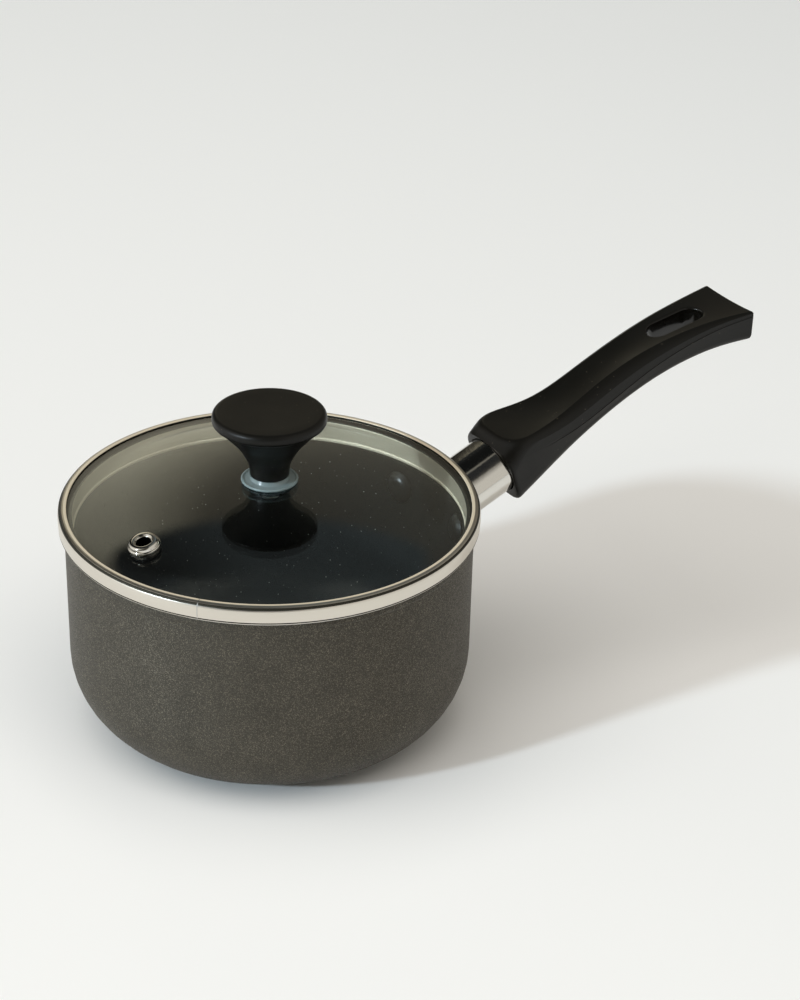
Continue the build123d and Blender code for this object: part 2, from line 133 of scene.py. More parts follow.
def rounded(corners, arc_step=radians(7.5)):
    """Outline through corners (radius, height, rounding), with each rounding made an arc."""
    points = []
    for i, (radius, height, rounding) in enumerate(corners):
        here = complex(radius, height)
        if rounding == 0:
            points.append(here)
            continue
        before = complex(*corners[i - 1][:2]) - here
        after = complex(*corners[(i + 1) % len(corners)][:2]) - here
        before /= abs(before)
        after /= abs(after)
        half = abs(phase(before / after)) / 2
        middle = (before + after) / abs(before + after)
        centre = here + middle * rounding / sin(half)
        start = here + before * rounding / tan(half) - centre
        end = here + after * rounding / tan(half) - centre
        turn = phase(end / start)
        steps = max(2, ceil(abs(turn) / arc_step))
        points += [centre + start * rect(1, turn * k / steps) for k in range(steps + 1)]
    return points


# One tree turns every round piece: it sweeps an outline of radius and height round the axis
lathe = bpy.data.node_groups.new("turned_on_axis", "GeometryNodeTree")
lathe.interface.new_socket("Outline", in_out="INPUT", socket_type="NodeSocketGeometry")
lathe_segments = lathe.interface.new_socket("Segments", in_out="INPUT", socket_type="NodeSocketInt")
lathe_finish = lathe.interface.new_socket("Finish", in_out="INPUT", socket_type="NodeSocketMaterial")
lathe.interface.new_socket("Solid", in_out="OUTPUT", socket_type="NodeSocketGeometry")
given = add_node(lathe, "NodeGroupInput")
place = add_node(lathe, "GeometryNodeInputPosition")
axes = add_node(lathe, "ShaderNodeSeparateXYZ", {"Vector": place.outputs[0]})
ring_radius = 1.0
weld_gap = 0.001 * MM
inward = add_node(lathe, "ShaderNodeMath", {0: axes.outputs["X"], 1: ring_radius}, operation="SUBTRACT")
down = add_node(lathe, "ShaderNodeMath", {0: 0.0, 1: axes.outputs["Z"]}, operation="SUBTRACT")
laid = add_node(lathe, "ShaderNodeCombineXYZ", {"X": inward.outputs[0], "Y": down.outputs[0]})
flat = add_node(lathe, "GeometryNodeSetPosition",
                {"Geometry": given.outputs["Outline"], "Position": laid.outputs[0]})
section = add_node(lathe, "GeometryNodeMeshToCurve", {"Mesh": flat.outputs[0]})
ring = add_node(lathe, "GeometryNodeCurvePrimitiveCircle",
                {"Resolution": given.outputs["Segments"], "Radius": ring_radius})
swept = add_node(lathe, "GeometryNodeCurveToMesh",
                 {"Curve": ring.outputs[0], "Profile Curve": section.outputs[0]})
joined = add_node(lathe, "GeometryNodeMergeByDistance", {"Geometry": swept.outputs[0], "Distance": weld_gap})
turned_out = add_node(lathe, "GeometryNodeFlipFaces", {"Mesh": joined.outputs[0]})
smooth = add_node(lathe, "GeometryNodeSetShadeSmooth", {"Geometry": turned_out.outputs[0]})
whole = add_node(lathe, "GeometryNodeRealizeInstances", {"Geometry": smooth.outputs[0]})
coated = add_node(lathe, "GeometryNodeSetMaterial",
                  {"Geometry": whole.outputs[0], "Material": given.outputs["Finish"]})
add_node(lathe, "NodeGroupOutput", {"Solid": coated.outputs[0]})


def settle(piece, crisp=radians(32)):
    """Turns a piece's modifiers into its plain mesh, smooth with crisp edges."""
    graph = bpy.context.evaluated_depsgraph_get()
    mesh = bpy.data.meshes.new_from_object(piece.evaluated_get(graph))
    piece.modifiers.clear()
    piece.data = mesh
    mesh.name = piece.name
    mesh.shade_smooth()
    mesh.set_sharp_from_angle(angle=crisp)
    return piece


def new_piece(name, mesh):
    """An object for a mesh, at the origin."""
    piece = bpy.data.objects.new(name, mesh)
    bpy.context.scene.collection.objects.link(piece)
    return piece


def turned(name, outline, finish, closed=False, segments=256):
    """A round piece about the pan's axis, from its outline in the plane of radius and height."""
    count = len(outline)
    edges = [(i, (i + 1) % count) for i in range(count if closed else count - 1)]
    mesh = bpy.data.meshes.new(name)
    mesh.from_pydata([(p.real, 0, p.imag) for p in outline], edges, [])
    piece = new_piece(name, mesh)
    turn = piece.modifiers.new("turn", "NODES")
    turn.node_group = lathe
    turn[lathe_segments.identifier] = segments
    turn[lathe_finish.identifier] = finish
    return settle(piece)


# Metallic flake coating, sprayed from above: dark warm grey with fine light flakes that each lean at
# random and a little upwards, so that they catch the light. They are drawn coarser than the real 0.1 mm.
coating, tree = new_finish("sprayed_flake_coating")
flake_size = 0.26 * MM
flake_lean = (0.4, 0.4, 0.4)
lean_origin = (0.5, 0.5, 0.0)
dull_share = 0.72
cloud_size = 14.0 * MM
flakes = cells(tree, flake_size)
flake = add_node(tree, "ShaderNodeSeparateColor", {"Color": flakes.outputs["Color"]})
tone = add_node(tree, "ShaderNodeValToRGB", {"Fac": flake.outputs["Red"]})
tone.color_ramp.elements[0].color = linear("3e3b34")
tone.color_ramp.elements[1].color = linear("787264")
tone.color_ramp.elements.new(dull_share).color = linear("47433c")
cloudy = add_node(tree, "ShaderNodeMapRange",
                  {"Value": grain(tree, cloud_size, 3.0), "From Min": 0.3, "From Max": 0.7,
                   "To Min": 0.9, "To Max": 1.08})
shade = add_node(tree, "ShaderNodeVectorMath",
                 {0: tone.outputs["Color"], 1: cloudy.outputs["Result"]}, operation="MULTIPLY")
surface = add_node(tree, "ShaderNodeNewGeometry")
lean = add_node(tree, "ShaderNodeVectorMath",
                {0: flakes.outputs["Color"], 1: lean_origin}, operation="SUBTRACT")
leaning = add_node(tree, "ShaderNodeVectorMath",
                   {0: lean.outputs[0], 1: flake_lean, 2: surface.outputs["Normal"]},
                   operation="MULTIPLY_ADD")
facing = add_node(tree, "ShaderNodeVectorMath", {0: leaning.outputs[0]}, operation="NORMALIZE")
surfaced(tree, {"Base Color": shade.outputs[0], "Metallic": 0.45,
                "Roughness": between(tree, flake.outputs["Green"], 0.42, 0.58),
                "Specular IOR Level": 0.3, "Normal": facing.outputs[0]})

# PTFE non-stick, sprayed and baked: black, satin, with the orange-peel of a sprayed film and sparse
# pale flecks of mica, drawn coarser than the real 0.1 mm.
nonstick, tree = new_finish("baked_nonstick")
peel_size = 1.2 * MM
fleck_spacing = 2.9 * MM
peel = grain(tree, peel_size)
flecks = cells(tree, fleck_spacing)
fleck = add_node(tree, "ShaderNodeMapRange",
                 {"Value": flecks.outputs["Distance"], "From Min": 0.1, "From Max": 0.06})
chance = add_node(tree, "ShaderNodeSeparateColor", {"Color": flecks.outputs["Color"]})
glitter = add_node(tree, "ShaderNodeMath",
                   {0: fleck.outputs["Result"], 1: chance.outputs["Red"]}, operation="MULTIPLY")
ptfe = add_node(tree, "ShaderNodeMix",
                {"Factor": glitter.outputs[0], "A": linear("131413"), "B": linear("a9aca6")},
                data_type="RGBA")
surfaced(tree, {"Base Color": ptfe.outputs["Result"], "Roughness": between(tree, peel, 0.24, 0.36),
                "Normal": roughened(tree, peel, 0.15, 0.04 * MM)})

# Aluminium, turned bare: bright, with fine rings left by the tool.
bare_aluminium, tree = new_finish("turned_aluminium")
ring_pitch = 0.25 * MM
ring_length = 25.0 * MM
tool_rings = grain(tree, (ring_length, ring_length, ring_pitch), 1.0)
surfaced(tree, {"Base Color": linear("d9d8d4"), "Metallic": 1.0,
                "Roughness": between(tree, tool_rings, 0.2, 0.36),
                "Normal": roughened(tree, tool_rings, 0.2, 0.03 * MM)})

pan_outline = rounded([
    (0, 0, 0),
    (wall_radius(0), 0, corner_radius),
    (wall_radius(rim_top - bead_height), rim_top - bead_height, bead_round),
    (bead_radius, rim_top - bead_height + 1.3 * bead_width, bead_round),
    (bead_radius, rim_top - bare_edge, 0),
    (bead_radius, rim_top, bead_round),
    (rim_radius - wall, rim_top, bead_round),
    (wall_radius(base_thickness) - wall, base_thickness, corner_radius - wall),
    (0, base_thickness, 0),
])
pan_shell = turned("pan_shell", pan_outline, coating, segments=320)
for finish in (nonstick, bare_aluminium):
    pan_shell.data.materials.append(finish)
mouth_radius = rim_radius - wall + 0.1 * MM
below_mouth = 60.0 * MM
for face in pan_shell.data.polygons:
    height, out = face.center.z, face.center.to_2d()
    on_base = face.normal.z > 0.5 and base_thickness / 2 < height < below_mouth
    if height > rim_top - bare_edge and out.length > mouth_radius:
        face.material_index = 2
    elif on_base or out.dot(face.normal.to_2d()) < 0:
        face.material_index = 1
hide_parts("pan_body")
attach(pan_shell, "pan")


# Handle bracket and its nut
# A saddle plate pressed from steel, with a cup drawn out of it; the nut is welded inside the cup.
# Only the plate shows, beside the guard that slides over the cup.
def from_frame(node, name, finish, crisp=radians(28)):
    """A copy of a CAD node's shape, with its triangles joined and shaded smooth."""
    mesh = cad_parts[node].data.copy()
    mesh.name = name
    shape = bmesh.new()
    shape.from_mesh(mesh)
    bmesh.ops.remove_doubles(shape, verts=shape.verts, dist=weld_gap)
    shape.to_mesh(mesh)
    shape.free()
    mesh.materials.clear()
    mesh.materials.append(finish)
    mesh.shade_smooth()
    mesh.set_sharp_from_angle(angle=crisp)
    piece = new_piece(name, mesh)
    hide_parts(node)
    return piece


# Pressed stainless sheet, left matt from the press: pale grey with soft drawn streaks.
pressed_steel, tree = new_finish("pressed_steel_sheet")
streak_size = 0.4 * MM
streak_length = 50.0 * MM / 3
streaks = grain(tree, (streak_size, streak_length, streak_size))
surfaced(tree, {"Base Color": linear("c2c1bd"), "Metallic": 1.0,
                "Roughness": between(tree, streaks, 0.28, 0.48)}, name="steel")

# Zinc plate on steel fasteners: cool grey with the faint bloom of passivated zinc.
zinc_plate, tree = new_finish("zinc_plated_steel")
bloom_size = 1.5 * MM
hue = add_node(tree, "ShaderNodeMix",
               {"Factor": grain(tree, bloom_size), "A": linear("b9bcc0"), "B": linear("c8c6bd")},
               data_type="RGBA")
surfaced(tree, {"Base Color": hue.outputs["Result"], "Metallic": 1.0, "Roughness": 0.32})

bracket = from_frame("handle_bracket", "bracket_saddle", pressed_steel)
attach(bracket, "pan")
weld_nut = from_frame("bracket_nut", "bracket_weld_nut", zinc_plate)
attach(weld_nut, "pan")


# Bracket rivets
# Two aluminium rivets clamp wall and plate; their low domed heads inside are sprayed over with the
# non-stick, and the outer heads stand on the plate.
rivet_low, rivet_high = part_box("bracket_rivets")
rivet_height = (rivet_low.z + rivet_high.z) / 2
rivet_head_radius = (rivet_high.z - rivet_low.z) / 2
rivet_half_spacing = 23.0 * MM
rivet_shank = 3.0 * MM
rivet_dome = 2.6 * MM
rivet_crown = 0.62 * rivet_head_radius
rivet_edge = 0.35 * MM
rivet_edge_round = 0.3 * MM
rivet_dome_round = 4.5 * MM
seat_gap = 0.1 * MM
plate_thickness = 2.0 * MM
rivet_inside = sqrt((wall_radius(rivet_height) - wall) ** 2 - rivet_head_radius ** 2) - seat_gap
rivet_outside = wall_radius(rivet_height) + plate_thickness + seat_gap
rivet_outline = rounded([
    (0, rivet_inside - rivet_dome, 0),
    (rivet_crown, rivet_inside - rivet_dome, rivet_dome_round),
    (rivet_head_radius, rivet_inside - rivet_edge, rivet_edge_round),
    (rivet_head_radius, rivet_inside, 0),
    (rivet_shank, rivet_inside, 0),
    (rivet_shank, rivet_outside, 0),
    (rivet_head_radius, rivet_outside, 0),
    (rivet_head_radius, rivet_outside + rivet_edge, rivet_edge_round),
    (rivet_crown, rivet_outside + rivet_dome, rivet_dome_round),
    (0, rivet_outside + rivet_dome, 0),
])
rivet_pair = turned("rivet_pair", rivet_outline, nonstick, segments=48)
rivet_pair.data.transform(Matrix.Translation((0, 0, rivet_height)) @ Matrix.Rotation(pi / 2, 4, "Y"))

# The rivet lies along the handle; the tree turns a copy to each side of it
riveting = bpy.data.node_groups.new("rivets_beside_handle", "GeometryNodeTree")
riveting.interface.new_socket("Rivet", in_out="INPUT", socket_type="NodeSocketGeometry")
rivet_turn = riveting.interface.new_socket("Half Angle", in_out="INPUT", socket_type="NodeSocketFloat")
rivet_finish = riveting.interface.new_socket("Finish", in_out="INPUT", socket_type="NodeSocketMaterial")
riveting.interface.new_socket("Rivets", in_out="OUTPUT", socket_type="NodeSocketGeometry")
given = add_node(riveting, "NodeGroupInput")
spots = add_node(riveting, "GeometryNodePoints", {"Count": 2})
number = add_node(riveting, "GeometryNodeInputIndex")
side = add_node(riveting, "ShaderNodeMath", {0: number.outputs[0], 1: 2.0, 2: -1.0}, operation="MULTIPLY_ADD")
swing = add_node(riveting, "ShaderNodeMath",
                 {0: side.outputs[0], 1: given.outputs["Half Angle"]}, operation="MULTIPLY")
about_axis = add_node(riveting, "ShaderNodeCombineXYZ", {"Z": swing.outputs[0]})
placed = add_node(riveting, "GeometryNodeInstanceOnPoints",
                  {"Points": spots.outputs[0], "Instance": given.outputs["Rivet"],
                   "Rotation": about_axis.outputs[0]})
whole = add_node(riveting, "GeometryNodeRealizeInstances", {"Geometry": placed.outputs[0]})
coated = add_node(riveting, "GeometryNodeSetMaterial",
                  {"Geometry": whole.outputs[0], "Material": given.outputs["Finish"]})
add_node(riveting, "NodeGroupOutput", {"Rivets": coated.outputs[0]})
spread = rivet_pair.modifiers.new("spread", "NODES")
spread.node_group = riveting
spread[rivet_turn.identifier] = asin(rivet_half_spacing / rim_radius)
spread[rivet_finish.identifier] = nonstick
settle(rivet_pair)
rivet_pair.data.materials.append(bare_aluminium)
for face in rivet_pair.data.polygons:
    if face.center.to_2d().length > wall_radius(rivet_height):
        face.material_index = 1
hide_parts("bracket_rivets")
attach(rivet_pair, "pan")


# Flame guard
# An oval tube of polished stainless steel, slid over the bracket's cup and held between the plate
# and the handle's collar by the long screw.

# Polished stainless: near-mirror, with faint hairlines along the polishing direction.
polished_steel, tree = new_finish("polished_stainless")
hairline_size = 0.35 * MM
hairline_length = 25.0 * MM
hairlines = grain(tree, (hairline_length, hairline_length, hairline_size))
surfaced(tree, {"Base Color": linear("dddad3"), "Metallic": 1.0,
                "Roughness": between(tree, hairlines, 0.05, 0.15, name="gloss"),
                "Normal": roughened(tree, hairlines, 0.06, 0.02 * MM)}, name="steel")

guard_tube = from_frame("flame_guard", "guard_tube", polished_steel)
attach(guard_tube, "pan")


# Handle grip
# A phenolic moulding: a collar that swallows the guard's end, a waist, and a dished top that starts
# in a square tongue over the collar and runs out at the square tail, with a hang slot.
handle_rise = radians(22.5)
guard_axis = Vector((cos(handle_rise), 0, sin(handle_rise)))
collar_front = Vector((108.88, 0, 84.98)) * MM
front_round = 1.3 * MM
chin_round = 2.0 * MM
tongue_start = 5.0 * MM
tongue_length = 13.0 * MM
tongue_square = 3.2
corner_round = 6.0 * MM
corner_run = 16.0 * MM
corner_fade = 1.5
bevel_hollow = 0.65
side_draft = 0.8 * MM
tail_round = 1.0 * MM
tail_trim = 0.25 * MM
parting_depth = 0.22 * MM
parting_half = 0.25 * MM
parting_start = 16.0 * MM
parting_fade = 14.0 * MM
# Sections along the spine, in mm: reach from the pan's axis, height of the middle, lean in degrees,
# width, height, width and drop of the edge bevel, dish, parting line's drop under it, bottom round
handle_sections = [
    (108.7, 85.4, 19.0, 34.0, 29.6, 3.2, 1.6, 0.2, 4.5, 7.0),
    (121.0, 90.4, 23.5, 32.5, 24.5, 2.8, 2.4, 0.5, 4.5, 7.0),
    (138.0, 97.2, 26.5, 28.5, 17.8, 3.8, 3.4, 0.8, 4.6, 5.2),
    (160.0, 107.9, 25.5, 26.0, 15.5, 4.6, 3.8, 0.9, 5.0, 4.0),
    (181.0, 116.7, 21.0, 26.3, 14.9, 4.4, 3.3, 0.9, 3.8, 4.0),
    (202.0, 122.5, 12.5, 28.0, 14.2, 3.4, 2.2, 0.9, 2.6, 4.0),
    (218.0, 124.9, 6.5, 30.0, 14.1, 2.4, 1.2, 0.8, 2.0, 4.0),
    (233.2, 126.2, 3.0, 33.4, 14.0, 1.2, 0.5, 0.6, 1.6, 3.0),
]
first_reach, last_reach = handle_sections[0][0] * MM, handle_sections[-1][0] * MM - tail_trim


def curve_through(column):
    """A smooth curve through one column of the sections: a function of the reach."""
    reaches = [row[0] for row in handle_sections]
    values = [row[column] for row in handle_sections]
    spans = np.diff(reaches)
    rates = np.diff(values) / spans
    last = len(spans)
    system, known = np.zeros((last + 1, last + 1)), np.zeros(last + 1)
    system[0, :2], known[0] = (2, 1), 3 * rates[0]
    system[last, -2:], known[last] = (1, 2), 3 * rates[-1]
    for i in range(1, last):
        system[i, i - 1:i + 2] = spans[i], 2 * (spans[i - 1] + spans[i]), spans[i - 1]
        known[i] = 3 * (spans[i] * rates[i - 1] + spans[i - 1] * rates[i])
    slopes = np.linalg.solve(system, known)

    def value(reach):
        i = int(np.clip(np.searchsorted(reaches, reach) - 1, 0, last - 1))
        t = (reach - reaches[i]) / spans[i]
        return (values[i] * (1 + 2 * t) * (1 - t) ** 2 + values[i + 1] * t * t * (3 - 2 * t)
                + spans[i] * t * (1 - t) * (slopes[i] * (1 - t) - slopes[i + 1] * t))

    return value


handle_curves = [curve_through(column) for column in range(1, 10)]


def handle_sizes(reach, *columns):
    """Sizes of the handle at a reach, by the numbers of their columns."""
    return [handle_curves[column - 1](reach / MM) * MM for column in columns]


def spine_at(reach):
    """Middle of the handle at a reach, and its upright direction."""
    middle, lean = handle_sizes(reach, 1, 2)
    lean = radians(lean / MM)
    return Vector((reach, 0, middle)), Vector((-sin(lean), 0, cos(lean)))


def top_drop(reach, across):
    """How far the top lies under the highest point of its section: dish, tongue and edge bevel."""
    width, bevel, bevel_drop, dish = handle_sizes(reach, 3, 5, 6, 7)
    flat_half = width / 2 - bevel
    tongue = max(0, tongue_start + tongue_length - (reach - first_reach)) / tongue_length
    outward = (tongue ** tongue_square + (across / flat_half) ** tongue_square) ** (1 / tongue_square)
    if outward < 1:
        return dish * (1 - outward ** 2)
    past = (outward - 1) * flat_half / bevel
    if past < 1:
        return bevel_drop * ((1 - bevel_hollow) * past + bevel_hollow * past ** 2)
    return bevel_drop * ((1 + bevel_hollow) * past - bevel_hollow)


def shoulder_drop(reach, half, across):
    """How far the collar's upper corners are rounded off; the rounding fades out behind the collar."""
    rounding = corner_round * max(0, 1 - (reach - first_reach) / corner_run) ** corner_fade
    into = across - (half - rounding)
    return rounding - sqrt(max(0, rounding ** 2 - into ** 2)) if into > 0 else 0


def rounded_off(rounding, behind):
    """Inset of an edge round at a distance behind the face that it turns into."""
    if behind >= rounding:
        return 0
    return rounding - sqrt(rounding ** 2 - (rounding - behind) ** 2)


def handle_outline(reach, front_inset=0, chin_inset=0, tail_inset=0):
    """A section of the handle as (across, up) points, from the top's middle all the way round."""
    width, height, bevel, bevel_drop, parting_drop, bottom_round = handle_sizes(reach, 3, 4, 5, 6, 8, 9)
    half, top = width / 2 - front_inset - tail_inset, height / 2 - tail_inset
    flat_half = width / 2 - bevel
    across_top = [flat_half * sin(pi / 2 * k / 17) for k in range(18)]
    across_top += [flat_half + (half - flat_half) * k / 12 for k in range(1, 13)]
    points = []
    for across in across_top:
        points.append((across, top - top_drop(reach, across) - shoulder_drop(reach, half, across)))
    side_top = points[-1][1]
    lower = bottom_round - height / 2 + chin_inset + tail_inset
    parting = min(side_top - 2 * parting_half, height / 2 - bevel_drop - parting_drop)
    for k in range(1, 8):
        points.append((half, side_top + (parting + parting_half - side_top) * k / 7))
    depth = parting_depth * min(1, max(0, (reach - first_reach - parting_start) / parting_fade))
    points.append((half - depth, parting))
    below = parting - parting_half
    for k in range(8):
        points.append((half - side_draft * k / 8, below + (lower - below) * k / 8))
    foot = half - side_draft - bottom_round
    for turn in range(0, 91, 10):
        points.append((foot + bottom_round * cos(radians(turn)), lower - bottom_round * sin(radians(turn))))
    points += [(foot * (1 - k / 6), lower - bottom_round) for k in range(1, 7)]
    return points + [(-across, up) for across, up in points[-2:0:-1]]


def skin(shape, rings):
    """Faces between rings of vertices that have the same count."""
    for near, far in zip(rings, rings[1:]):
        for i in range(len(near)):
            j = (i + 1) % len(near)
            shape.faces.new((near[i], near[j], far[j], far[i]))


def closed_mesh(name, rings):
    """A closed mesh from rings of points, with flat ends."""
    shape = bmesh.new()
    rings = [[shape.verts.new(point) for point in ring] for ring in rings]
    skin(shape, rings)
    shape.faces.new(rings[0])
    shape.faces.new(rings[-1])
    bmesh.ops.recalc_face_normals(shape, faces=shape.faces)
    mesh = bpy.data.meshes.new(name)
    shape.to_mesh(mesh)
    shape.free()
    return mesh


def cut_away(piece, *cutters):
    """Cuts the shapes of other objects out of a piece, and removes them."""
    for cutter in cutters:
        cut = piece.modifiers.new(cutter.name, "BOOLEAN")
        cut.object = cutter
        cut.solver = "EXACT"
    settle(piece)
    for cutter in cutters:
        bpy.data.objects.remove(cutter)


# Phenolic, moulded from wood-flour resin: black with a warm cast, satin from the spark-eroded mould,
# with sparse lighter specks of filler and dust.
phenolic, tree = new_finish("moulded_phenolic")
spark_size = 0.4 * MM
patch_size = 18.0 * MM
speck_spacing = 3.5 * MM
resin_black = linear("0d0c09")
specks = cells(tree, speck_spacing)
speck = add_node(tree, "ShaderNodeMapRange",
                 {"Value": specks.outputs["Distance"], "From Min": 0.06, "From Max": 0.045, "To Max": 0.4})
resin = add_node(tree, "ShaderNodeMix",
                 {"Factor": speck.outputs["Result"], "A": resin_black, "B": linear("8d8474")},
                 data_type="RGBA")
surfaced(tree, {"Base Color": resin.outputs["Result"], "Specular IOR Level": 0.27,
                "Roughness": between(tree, grain(tree, patch_size), 0.3, 0.5),
                "Normal": roughened(tree, grain(tree, spark_size), 0.3, 0.05 * MM)})

# The socket: an oval hole for the guard, with a softened mouth
rings = []
front_middle, front_up = spine_at(first_reach)
offset = collar_front - front_middle
socket_up = ((offset.x * guard_axis.z - offset.z * guard_axis.x)
             / (front_up.x * guard_axis.z - front_up.z * guard_axis.x))
socket_half_width, socket_half_height, socket_depth = 14.8 * MM, 11.8 * MM, 9.0 * MM
front_points = handle_outline(first_reach, rounded_off(front_round, 0), rounded_off(chin_round, 0))
front_turns = [atan2(up - socket_up, across) for across, up in front_points]
# Each ring's depth in the socket, and how much wider it is than the socket
socket_rings = [(socket_depth, 0), (0.5 * MM, 0), (0.15 * MM, 0.1 * MM), (0, 0.3 * MM)]
for deep, wider in socket_rings:
    centre = front_middle + front_up * socket_up + guard_axis * deep
    rings.append([
        centre + Vector((0, (socket_half_width + wider) * cos(turn), 0))
        + front_up * (socket_half_height + wider) * sin(turn)
        for turn in front_turns
    ])
# The body, with the collar's front edges and the tail's edge rounded off; its sections are placed in mm
near_front = [0, 0.1, 0.3, 0.6, 1.0, 1.4] + [1.8 + 0.35 * k for k in range(52)]
near_tail = [1.0, 0.75, 0.5, 0.3, 0.15, 0.05, 0]
length = (last_reach - first_reach) / MM
run = length - near_front[-1] - 2.0
body = near_front + [near_front[-1] + run * k / 110 for k in range(1, 111)] + [length - d for d in near_tail]
for behind in (step * MM for step in body):
    middle, up = spine_at(first_reach + behind)
    before_tail = last_reach - first_reach - behind
    outline = handle_outline(first_reach + behind, rounded_off(front_round, behind),
                             rounded_off(chin_round, behind), rounded_off(tail_round, before_tail))
    rings.append([middle + Vector((0, across, 0)) + up * height for across, height in outline])
handle = new_piece("handle_moulding", closed_mesh("handle_moulding", rings))
handle.data.materials.append(phenolic)

# The hang slot is cut right through, and its lip is rounded along the dished top
slot_middle, slot_length, slot_width, slot_shift = 204.0 * MM, 26.4 * MM, 11.2 * MM, 0.5 * MM
slot_lip, slot_foot = 0.9 * MM, 2.6 * MM
slot_levels = [(2.0, 0.8)] + [(1 - sin(radians(t)), cos(radians(t)) - 1) for t in (20, 35, 50, 70, 90)]
slot_rings = []
slot_points = 64
for side, lip in ((1, slot_lip), (-1, slot_foot)):
    for grow, rise in [(g * lip, u * lip) for g, u in slot_levels[::side]]:
        ring = []
        for k in range(slot_points):
            turn = 2 * pi * k / slot_points
            straight = (slot_length - slot_width) / 2 * (1 if cos(turn) > 0 else -1)
            reach = slot_middle + straight + (slot_width / 2 + grow) * cos(turn)
            across = slot_shift + (slot_width / 2 + grow) * sin(turn)
            middle, up = spine_at(reach)
            half_height = handle_sizes(reach, 4)[0] / 2
            face = half_height - top_drop(reach, abs(across)) if side == 1 else half_height
            ring.append(middle + Vector((0, across, 0)) + up * side * (face + rise))
        slot_rings.append(ring)
slot_cutter = new_piece("slot_cutter", closed_mesh("slot_cutter", slot_rings))
# The screw's head lies in a bore that opens in the slot's front wall
lock_low, lock_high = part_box("screw_lock_washer")
head_bore, bore_length, bore_points = 4.4 * MM, 12.0 * MM, 48
bore_start = (lock_low + lock_high) / 2 - guard_axis * 0.5 * MM
bore_up = Vector((-sin(handle_rise), 0, cos(handle_rise)))
bore_rings = []
bore_turns = [2 * pi * k / bore_points for k in range(bore_points)]
for deep in (0, bore_length):
    centre = bore_start + guard_axis * deep
    bore_rings.append([
        centre + (Vector((0, cos(turn), 0)) + bore_up * sin(turn)) * head_bore for turn in bore_turns
    ])
bore_cutter = new_piece("bore_cutter", closed_mesh("bore_cutter", bore_rings))
cut_away(handle, slot_cutter, bore_cutter)
# The slot's walls come smooth from a polished core pin
smooth_phenolic, tree = new_finish("polished_phenolic")
wipe_size = 6.0 * MM
surfaced(tree, {"Base Color": resin_black, "Roughness": between(tree, grain(tree, wipe_size), 0.08, 0.16)})
handle.data.materials.append(smooth_phenolic)
for face in handle.data.polygons:
    along, across = abs(face.center.x - slot_middle), abs(face.center.y - slot_shift)
    in_slot = along < slot_length / 2 + slot_lip and across < slot_width / 2 + 0.2 * MM
    if in_slot and abs(face.normal.z) < 0.45:
        face.material_index = 1
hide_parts("handle_grip")
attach(handle, "pan")


# Handle screw and its lock washer
# A long zinc-plated machine screw runs from the slot's front wall through the handle into the nut.
long_screw = from_frame("handle_screw", "handle_long_screw", zinc_plate)
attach(long_screw, "pan")
lock_washer = from_frame("screw_lock_washer", "handle_lock_washer", zinc_plate)
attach(lock_washer, "pan")


# Lid rim band
# One strip of stainless steel, rolled over the glass, down the outside, in under the rim, and down
# again as the skirt that centres the lid in the pan. Its ends meet in a fine welded seam.

# The polished strip is a little softer than the guard, as the rolls leave it.
rolled_steel = polished_steel.copy()
rolled_steel.name = "rolled_bright_stainless"
rolled_steel.node_tree.nodes["gloss"].inputs["To Min"].default_value = 0.26
rolled_steel.node_tree.nodes["gloss"].inputs["To Max"].default_value = 0.4
rolled_steel.node_tree.nodes["steel"].inputs["Base Color"].default_value = linear("dbd5ca")

# Cold-rolled stainless, unpolished: pale and matt, so that it spreads the light it gets.
matt_steel, tree = new_finish("rolled_matt_stainless")
mottle_size = 3.0 * MM
surfaced(tree, {"Base Color": linear("e8dcc4"), "Metallic": 0.8,
                "Roughness": between(tree, grain(tree, mottle_size), 0.48, 0.62)}, name="steel")

band_low, band_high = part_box("lid_rim_band")
band_radius = band_high.x
band_top = band_high.z
band_bottom = rim_top
sheet = 0.7 * MM
lip_width = 3.6 * MM
lip_round = 2.2 * MM
fold = 0.8 * MM
hem = 0.35 * MM
skirt_radius = rim_radius - wall - 0.6 * MM
ledge_radius = skirt_radius + 1.9 * MM
ledge_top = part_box("lid_glass")[0].z
wall_crown = 0.3 * MM
wall_crown_round = 14.0 * MM
edge_round = 0.4 * MM
hem_foot = 1.0 * MM
hem_end = 1.4 * MM
groove_height = 0.75 * MM
# Depth of the groove above the fold, and height about its middle, in mm
groove = [(0.12, 0.3), (0.58, 0.0), (0.16, -0.2)]
band_middle = (band_top + band_bottom) / 2
outside = [
    (band_radius - lip_width, band_top, 0.25 * MM),
    (band_radius - wall_crown, band_top, lip_round),
    (band_radius, band_middle, wall_crown_round),
    *((band_radius - deep * MM, band_bottom + groove_height + up * MM, 0) for deep, up in groove),
    (band_radius - wall_crown, band_bottom, 0.6 * MM),
    (ledge_radius, band_bottom, fold),
    (ledge_radius, ledge_top - sheet, fold),
    (skirt_radius, ledge_top - sheet, fold),
    (skirt_radius, band_low.z, edge_round),
]
inside = [
    (skirt_radius - sheet - hem, band_low.z, edge_round),
    (skirt_radius - sheet - hem, band_low.z + hem_foot, edge_round / 2),
    (skirt_radius - sheet, band_low.z + hem_end, edge_round / 2),
    (skirt_radius - sheet, ledge_top, fold + sheet),
    (ledge_radius + sheet, ledge_top, fold + sheet),
    (ledge_radius + sheet, band_bottom + sheet, 0.1 * MM),
    (band_radius - sheet, band_bottom + sheet, 0.1 * MM),
    (band_radius - sheet, band_top - sheet, lip_round - sheet),
    (band_radius - lip_width, band_top - sheet, 0),
]
band = turned("lid_band", rounded(outside + inside)[::-1], rolled_steel, closed=True, segments=360)
